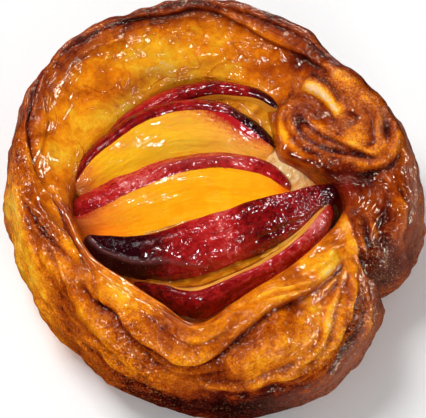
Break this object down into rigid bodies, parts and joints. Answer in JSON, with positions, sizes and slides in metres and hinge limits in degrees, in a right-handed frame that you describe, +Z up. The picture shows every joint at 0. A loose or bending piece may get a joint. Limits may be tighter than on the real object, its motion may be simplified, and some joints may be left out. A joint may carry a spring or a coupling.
{
  "type": "fruit-filled laminated pastry",
  "caption": "Round laminated pastry whose dough folds in over a well that holds pastry cream and leaning peach slices.",
  "frame": {"origin": "middle of the flat underside, under the middle of the well", "axes": "+Z up out of the well, -Y towards the folded-in near rim, +X towards the lobe on the right"},
  "size_m": [0.1116, 0.1106, 0.0418],
  "materials": {
    "crust": "glazed, browned crust",
    "cream": "glossy pastry cream",
    "peach": "wet glossy skin and flesh"
  },
  "bodies": {
    "root": {"pastry": "crust", "cream": "cream", "peach_1": "peach", "peach_2": "peach", "peach_3": "peach", "peach_4": "peach", "peach_5": "peach"}
  },
  "joints": []
}
